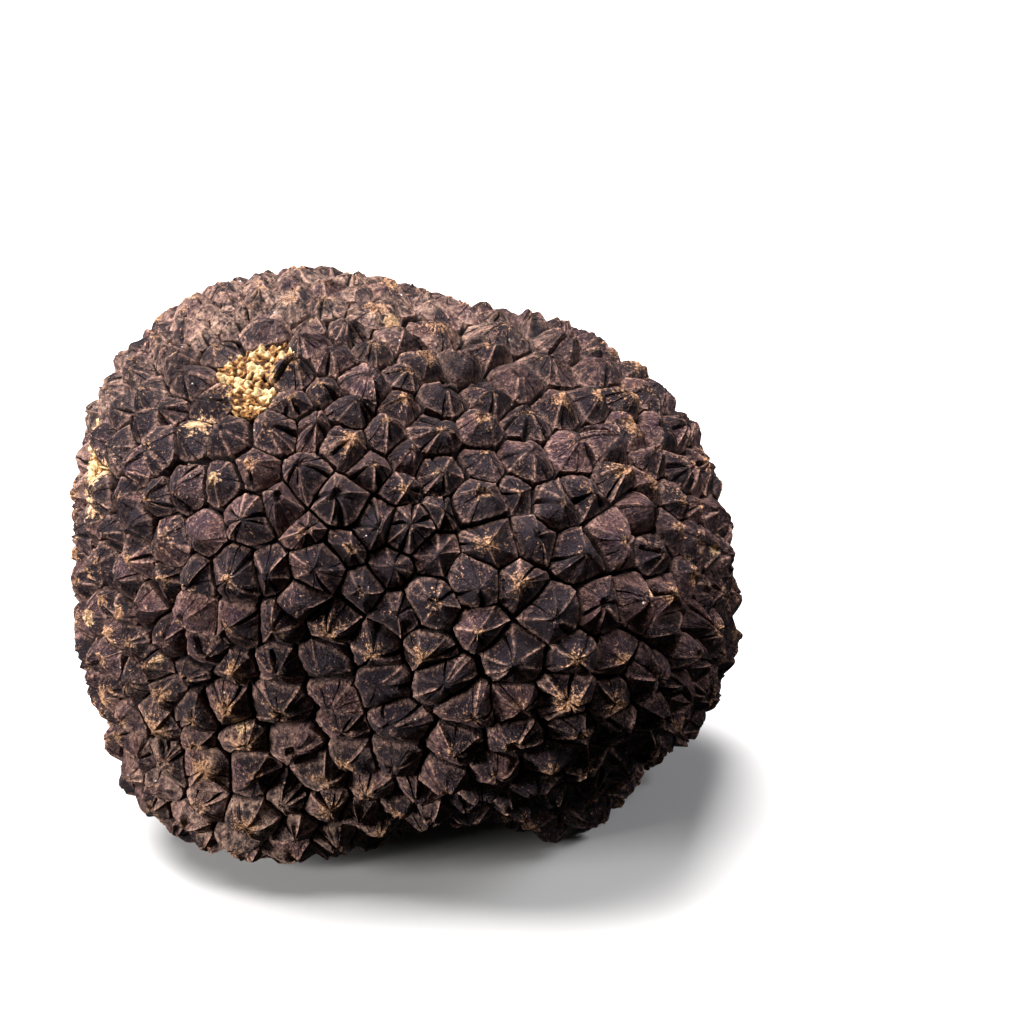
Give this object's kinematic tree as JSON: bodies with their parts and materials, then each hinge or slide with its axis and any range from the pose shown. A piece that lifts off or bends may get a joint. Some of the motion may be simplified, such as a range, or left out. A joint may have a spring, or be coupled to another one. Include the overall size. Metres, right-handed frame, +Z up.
{
  "type": "summer truffle",
  "caption": "Whole summer truffle: a lumpy, roundish fungus body covered all over in low dark pyramid-shaped warts, resting on small flat spots.",
  "frame": {"origin": "on the surface that the truffle rests on, under the middle of its bounding box", "axes": "+Z up as it rests; -Y is the side that faces the camera in the picture, with +X to the right of it"},
  "size_m": [0.0662, 0.0562, 0.0549],
  "materials": {
    "truffle_skin": null
  },
  "bodies": {
    "root": {"truffle": "truffle_skin"}
  },
  "joints": []
}
